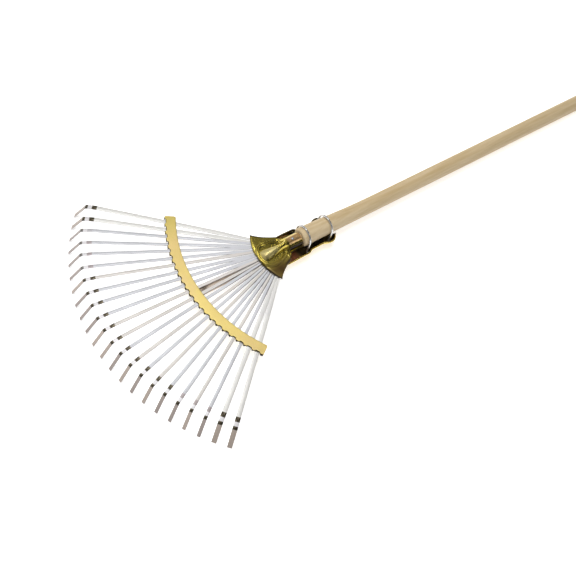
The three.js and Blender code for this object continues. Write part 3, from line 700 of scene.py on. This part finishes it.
# ---- trough ----
def trough_half(x):
    """Outer half width, with its corners rounded off."""
    stations = np.array([[TOE_X, 28.9], [31, 28.2], [37, 24.2], [67, 23.5], [71, 26], [75, 27.6], [79.5, 28],
                         [84.5, 26.8], [89.5, 23.4], [TAIL_X, 16]])
    spread = np.linspace(-2.2, 2.2, 9)
    return np.mean([np.interp(np.clip(x + d, TOE_X, TAIL_X), *stations.T) for d in spread], axis=0)


def trough_floor(x):
    toe = lerp(TOE_Z, FLOOR_Z, (x - TOE_X) / (TOE_END_X - TOE_X))
    return np.where(x < TOE_END_X, toe, lerp(FLOOR_Z, TAIL_Z, smooth(x, 74, TAIL_X + 4)))


def rim_height(x):
    return lerp(RIM_FRONT_Z, RIM_Z, smooth(x, -6, 12))


def make_trough(material):
    """The trough: its wall is the first three quarters of each half section, its curled rim the rest."""
    wall_share = 0.75
    x = np.concatenate([np.linspace(TOE_X, 24, 40), np.linspace(25, TAIL_X, 110)])
    wall = 1 - (1 - np.linspace(0, 1, 40)) ** 1.4
    curl = np.linspace(0, 1, 24)[1:]
    t = np.concatenate([wall_share * wall, wall_share + (1 - wall_share) * curl])
    v = np.concatenate([-t[:0:-1], t])
    x, v = np.meshgrid(x, v, indexing="ij")
    t = np.abs(v)
    half, rim = trough_half(x), rim_height(x)
    turn = lerp(math.pi, -math.pi / 3, np.clip((t - wall_share) / (1 - wall_share), 0, 1))
    curl_y = half - CURL_R + CURL_R * np.cos(turn)
    curl_z = rim - CURL_R + CURL_R * np.sin(turn)
    a = np.clip(t / wall_share, 0, 1) * math.pi / 2
    wall_y = (half - 2 * CURL_R) * np.sin(a) ** (1 / 1.2)
    wall_z = rim - CURL_R - (rim - CURL_R - trough_floor(x)) * np.clip(np.cos(a), 0, 1) ** (1 / 1.2)
    y = np.sign(v) * np.where(t > wall_share, curl_y, wall_y)
    z = np.where(t > wall_share, curl_z, wall_z)
    points, faces = sheet(np.stack([x, y, z], axis=2), TROUGH_T)
    inside = np.concatenate([(t < wall_share).ravel(), np.zeros(len(points) - t.size)])
    depth = inside * smooth(-points[:, 2], 4, 9)
    near = 1 - smooth(points[:, 1], -4, 4)
    # reddish-brown inside, at the front
    brown_and_painted_shade = depth * (1 - smooth(points[:, 0], 14, 30))
    # painted coppery light on the far inside wall, at the front
    copper_painted_light = 0.8 * brown_and_painted_shade * (1 - near)
    # painted shade deep inside, almost none at the front
    painted_shade = depth * (1 - (1 - smooth(points[:, 0], 10, 26)) * lerp(0.97, 0.85, near))
    # painted shade along the far rim's curl and on the tail's end
    below_rim = rim_height(points[:, 0]) - points[:, 2]
    far_rim = smooth(points[:, 1], 8, 12) * (1 - smooth(below_rim, 2 * CURL_R, 3 * CURL_R))
    tail = smooth(points[:, 0], TAIL_X - 3, TAIL_X - 1)
    painted_shade = np.maximum(painted_shade, 0.9 * np.maximum(far_rim, tail))
    values = {"brown_and_painted_shade": brown_and_painted_shade, "painted_shade": painted_shade, "copper_painted_light": copper_painted_light}
    new_piece("trough_shell", points, faces, "spreader", material, "slide_trough", 60.0, values)


# ---- tines ----
def tine_angle(i):
    return lerp(FAN_HALF, -FAN_HALF, (i - 1) / (TINES - 1))


def tine_width(i):
    return WIDE_TINE_W if min(i, TINES + 1 - i) <= 2 else TINE_W


def tine_dark_reflection(i):
    """How dark the painted reflection bands of tine i are at its kink and at its bend."""
    if tine_width(i) > TINE_W:
        return 0.9, 1.0
    kink = 0.15 if i == 3 else 0.45 if i <= 6 or i >= 18 else 0.92
    return kink, 0.75 if i <= 6 else 1.0


def eye_tube(level, start):
    """The eye about the peg, a short tube, with faces that count its points from start."""
    turn = np.linspace(0, 2 * math.pi, EYE_SIDES, endpoint=False)
    half = 0.5 * TINE_T * 0.98
    tube = []
    for radius, z in ((EYE_R, -half), (EYE_R, half), (EYE_HOLE_R, half), (EYE_HOLE_R, -half)):
        tube.append(np.stack([PEG_ARC + radius * np.cos(turn), radius * np.sin(turn),
                              np.full(EYE_SIDES, level + z)], axis=1))
    faces = []
    for k in range(4):
        a, b = start + EYE_SIDES * k, start + EYE_SIDES * ((k + 1) % 4)
        for j in range(EYE_SIDES):
            n = (j + 1) % EYE_SIDES
            faces.append((a + j, a + n, b + n, b + j))
    return np.concatenate(tube), faces


def make_tine(i, material):
    """Tine i: eye, flat strip, kink, bend and hook, made along +X and turned to its place."""
    level = LAYER if i % 2 else -LAYER
    corners = [(PEG_ARC + EYE_R - EYE_OVERLAP, level), (BEND_R - KINK_INSET, level),
               (BEND_R, level - KINK_DROP), (BEND_R + HOOK_REACH, -HOOK_DROP)]
    line = rounded_line(corners, (KINK_R, HOOK_R), 6.0)
    width = np.minimum(tine_width(i), line[:, 0] * TINE_TAPER)
    rings = strap_rings(line, width, TINE_T, TINE_EDGE_R)
    points, faces = loft(rings)
    values = strap_values(rings, line[:, 0])
    tube, tube_faces = eye_tube(level, len(points))
    points = np.concatenate([points, tube])
    for name, number in (("along", PEG_ARC), ("across", 0.0), ("flank", 0.0)):
        values[name] = np.concatenate([values[name], np.full(len(tube), number)])
    # how strong the painted reflection bands and the painted shadow line are on this tine
    values["kinked"], values["bend_reflection"] = (np.full(len(points), darkness) for darkness in tine_dark_reflection(i))
    values["edge_shadow_amount"] = np.full(len(points), smooth(i, 10, 12) * (tine_width(i) == TINE_W))
    turn = tine_angle(i)
    x, y = points[:, 0], points[:, 1]
    points = np.stack([-x * math.cos(turn) + y * math.sin(turn), x * math.sin(turn) + y * math.cos(turn),
                       points[:, 2]], axis=1)
    body = f"tine_{i:02d}"
    new_piece(f"{body}_strip", points, faces + tube_faces, body, material, body, 50.0, values)


# ---- spreader bar and stay ----
def crossing(i, radius):
    """Angle about the bar's centre at which tine i crosses an arc of that radius."""
    a = tine_angle(i)
    r = math.sqrt(radius ** 2 - (BAR_X * math.sin(a)) ** 2) - BAR_X * math.cos(a)
    return math.asin(r * math.sin(a) / radius)


def make_bar(material):
    """The bar's top: rolled inner lip, flat top and turned-down outer edge with a slot per tine."""
    a = np.linspace(-BAR_HALF, BAR_HALF, 1100)
    slots = np.array([crossing(i, BAR_OUT) for i in range(1, TINES + 1)]) * BAR_OUT
    halves = np.array([tine_width(i) / 2 for i in range(1, TINES + 1)])
    slack = SLOT_SLACK * np.abs(np.sin([2 * tine_angle(i) for i in range(1, TINES + 1)]))
    offset = (a[:, None] * BAR_OUT - slots) * np.sign(slots)
    gap = (np.abs(offset) - halves).min(axis=1)
    tooth = smooth(np.where(offset < 0, -offset - halves - slack, offset - halves).min(axis=1), 0.5, 1.6)
    outer = BAR_OUT - SCALLOP * (1 - smooth(gap, -1.2, 2.2))
    ends = BAR_HALF * BAR_OUT - np.abs(a) * BAR_OUT
    beyond = np.clip(BAR_CORNER - ends, 0, BAR_CORNER)
    cut_back = BAR_CORNER - np.sqrt(np.clip(BAR_CORNER ** 2 - beyond ** 2, 0, None))
    inner = BAR_IN + cut_back
    outer = outer - 0.6 * cut_back
    foot = lerp(BAR_TOP_Z - BAR_FOLD, FLANGE_Z, tooth)
    level = np.ones_like(a)
    lip_z = BAR_TOP_Z - BAR_LIP
    fold_z = BAR_TOP_Z - BAR_FOLD
    profile = []
    for t in np.linspace(0, 1, 3):
        profile.append((inner, lerp(BAR_TOP_Z - 2 * BAR_LIP, lip_z, t) * level))
    for t in np.linspace(0.15, 1, 5):
        turn = t * math.pi / 2
        profile.append((inner + BAR_LIP * (1 - math.cos(turn)), (lip_z + BAR_LIP * math.sin(turn)) * level))
    for t in np.linspace(0.1, 0.9, 7):
        profile.append((lerp(inner + BAR_LIP, outer - BAR_FOLD, t), BAR_TOP_Z * level))
    for t in np.linspace(0, 1, 8):
        turn = t * math.pi / 2
        z = (fold_z + BAR_FOLD * math.cos(turn)) * level
        profile.append((outer - BAR_FOLD + BAR_FOLD * math.sin(turn), z))
    for t in np.linspace(0.2, 1, 5):
        profile.append((outer, lerp(fold_z, foot, t)))
    r = np.stack([p[0] for p in profile], axis=1)
    z = np.stack([p[1] for p in profile], axis=1)
    x = BAR_X - r * np.cos(a)[:, None]
    y = r * np.sin(a)[:, None]
    points, faces = sheet(np.stack([x, y, z], axis=2), BAR_T)
    # painted shade on the turned-down outer edge, weaker along the inner lip, full on the rim faces
    outer_edge = 1 - smooth(outer[:, None] - r, 0.7, 1.3)
    inner_edge = 0.6 * (1 - smooth(r - inner[:, None], 0.3, 0.9))
    edge = np.maximum(outer_edge, inner_edge).ravel()
    painted_shade = np.concatenate([edge, edge, np.ones(len(points) - 2 * r.size)])
    values = {"olive": smooth(points[:, 1], 95, 150), "painted_shade": painted_shade}
    new_piece("bar_top", points, faces, "spreader", material, "spreader_bar", 45.0, values)


def make_stay(material):
    """The strap from the bar's underside to the trough, bent to lie along the trough's toe."""
    slope = math.atan2(FLOOR_Z - TOE_Z, TOE_END_X - TOE_X)

    def on_toe(x):
        z = lerp(TOE_Z, FLOOR_Z, (x - TOE_X) / (TOE_END_X - TOE_X))
        return (x - STAY_ABOVE_TOE * math.sin(slope), z + STAY_ABOVE_TOE * math.cos(slope))

    toe = on_toe(TOE_X)
    knee = toe[0] + (STAY_Z - toe[1]) / math.tan(slope)
    corners = [(BAR_X - BAR_OUT + 2.5, STAY_Z), (knee, STAY_Z), on_toe(1.5)]
    line = rounded_line(corners, (STAY_BEND_R,), 5.0)
    rings = strap_rings(line, np.full(len(line), 2 * STAY_HALF), STAY_T, STAY_EDGE_R)
    points, faces = loft(rings)
    values = strap_values(rings, -line[:, 0])
    new_piece("stay_strap", points, faces, "spreader", material, "centre_stay", 50.0, values)


# ---- lock bails ----
def make_bail(name, material):
    """A wire loop over the handle whose bent-out feet stand in the trough's walls."""
    bail = BAILS[name]
    height = (bail["crown"] - BAIL_HINGE_Z) / math.cos(BAIL_LEAN)
    side_line = [(bail["foot"], 0.0)]
    for a in np.linspace(0, math.pi / 2, 8):
        side_line.append((bail["leg"] + BAIL_BEND * (1 - math.sin(a)), BAIL_BEND * (1 - math.cos(a))))
    for a in np.linspace(0, math.pi / 2, 28):
        side_line.append((bail["leg"] * math.cos(a), height - bail["leg"] + bail["leg"] * math.sin(a)))
    line = side_line[:-1] + [(-y, z) for y, z in reversed(side_line)]
    points, faces = loft(wire(line, WIRE_R))
    place = Matrix.Translation((bail["x"], 0, BAIL_HINGE_Z)) @ Matrix.Rotation(BAIL_LEAN, 4, "Y")
    points = [place @ Vector(p) for p in points]
    new_piece(f"bail_wire_{name}", points, faces, f"bail_{name}", material,
              f"lock_bail_{name}", 40.0)


# ---- everything ----
wood = wood_material()
# the third colour is the brown: painted shade on the hood, a reddish-brown patch in the trough
gold = gold_material("passivated_hood", colour(200, 180, 82), colour(218, 198, 94), colour(60, 28, 6), 0.22)
trough_gold = gold_material("passivated_trough", colour(216, 188, 98), colour(236, 210, 122),
                            colour(182, 100, 76), 0.24)
pale_gold = pale_gold_material()
# the second colour of each is the hook's, greyed as painted shade
cool_steel = steel_material("tine_steel_cool", colour(224, 225, 230), colour(172, 160, 154), 0.76)
warm_steel = steel_material("tine_steel_warm", colour(231, 226, 221), colour(190, 176, 166), 0.78)
wide_steel = steel_material("tine_steel_wide", colour(240, 239, 235), colour(179, 165, 154), 0.88)
chrome = plain_steel("chrome_wire", colour(222, 221, 220), 0.17, 0.84)
zinc = plain_steel("zinc_plate", colour(206, 208, 212), 0.35, 0.8)

make_handle(wood)
make_hood(gold)
make_trough(trough_gold)
make_bar(pale_gold)
make_stay(stay_material())
for i in range(1, TINES + 1):
    make_tine(i, wide_steel if tine_width(i) > TINE_W else warm_steel if i in WARM_TINES else cool_steel)
for name in BAILS:
    make_bail(name, chrome)
make_nail(zinc)
for node, piece in frame["nodes"].items():
    if not piece.hide_render:
        piece.data.materials.clear()
        piece.data.materials.append(pale_gold if node.startswith(("spreader", "bar_rivet")) else zinc)

# ---- floor, light and camera ----
floor_mesh = bpy.data.meshes.new("floor")
FLOOR_HALF = 6.0
FLOOR_GAP = 0.0006
corners = [(x * FLOOR_HALF, y * FLOOR_HALF, 0) for x, y in ((-1, -1), (1, -1), (1, 1), (-1, 1))]
floor_mesh.from_pydata(corners, [], [(0, 1, 2, 3)])
floor = bpy.data.objects.new("floor", floor_mesh)
floor.location.z = -FLOOR_GAP
bpy.context.scene.collection.objects.link(floor)
paper = Shader("white_floor")
paper.set(Base_Color=colour(238, 238, 238), Roughness=0.9, Emission_Color=(1, 1, 1, 1), Emission_Strength=0.6)
floor_mesh.materials.append(paper.material)

# the room's light grows from a dim near side to a brighter far side, along LIGHT_SIDE
LIGHT_SIDE = (-0.6, 0.8, 0)
ROOM_DIM = 0.03
ROOM_BRIGHT = 0.6
world = bpy.data.worlds.new("studio")
world.use_nodes = True
room = world.node_tree
toward = room.nodes.new("ShaderNodeVectorMath")
toward.operation = "DOT_PRODUCT"
toward.inputs[1].default_value = LIGHT_SIDE
shade = room.nodes.new("ShaderNodeMapRange")
for key, value in {"From Min": -0.12, "From Max": 1.0, "To Min": ROOM_DIM, "To Max": ROOM_BRIGHT}.items():
    shade.inputs[key].default_value = value
room.links.new(room.nodes.new("ShaderNodeTexCoord").outputs["Generated"], toward.inputs[0])
room.links.new(toward.outputs["Value"], shade.inputs["Value"])
room.links.new(shade.outputs["Result"], room.nodes["Background"].inputs["Strength"])
room.nodes["Background"].inputs["Color"].default_value = (1.0, 0.98, 0.95, 1)
bpy.context.scene.world = world


def add_softbox(name, azimuth, elevation, distance, size, brightness, in_gloss=True):
    """A square area light that faces the rake's head from a direction in the level frame, in degrees."""
    light = bpy.data.lights.new(name, "AREA")
    light.size = size
    light.energy = brightness * math.pi * size ** 2
    lamp = bpy.data.objects.new(name, light)
    turn = Matrix.Rotation(math.radians(azimuth), 4, "Z")
    turn = turn @ Matrix.Rotation(math.radians(90 - elevation), 4, "Y")
    lamp.matrix_world = LEVEL @ turn @ Matrix.Translation((0, 0, distance))
    lamp.visible_glossy = in_gloss
    bpy.context.scene.collection.objects.link(lamp)


add_softbox("key", 97, 70, 1.7, 0.7, 5.0)
add_softbox("rim", -54, 47, 1.7, 0.45, 2.5)
add_softbox("fill", 200, 80, 3.0, 1.2, 12.0, False)

# the camera's place in the level frame in metres, its direction in degrees and its lens in millimetres
CAMERA_PLACE = (-0.7245, -0.6261, 1.4043)
CAMERA_AZIMUTH = 39.42
CAMERA_DOWN = 57.95
CAMERA_ROLL = 18.6
CAMERA_LENS = 61.89
CAMERA_SENSOR = 36.0
lens = bpy.data.cameras.new("camera")
lens.sensor_width = CAMERA_SENSOR
lens.lens = CAMERA_LENS
camera = bpy.data.objects.new("camera", lens)
look = Matrix.Rotation(math.radians(CAMERA_AZIMUTH - 90), 4, "Z")
look = look @ Matrix.Rotation(math.radians(90 - CAMERA_DOWN), 4, "X")
look = look @ Matrix.Rotation(math.radians(CAMERA_ROLL), 4, "Z")
camera.matrix_world = LEVEL @ Matrix.Translation(CAMERA_PLACE) @ look
bpy.context.scene.collection.objects.link(camera)
bpy.context.scene.camera = camera
bpy.context.scene.view_settings.view_transform = "Standard"
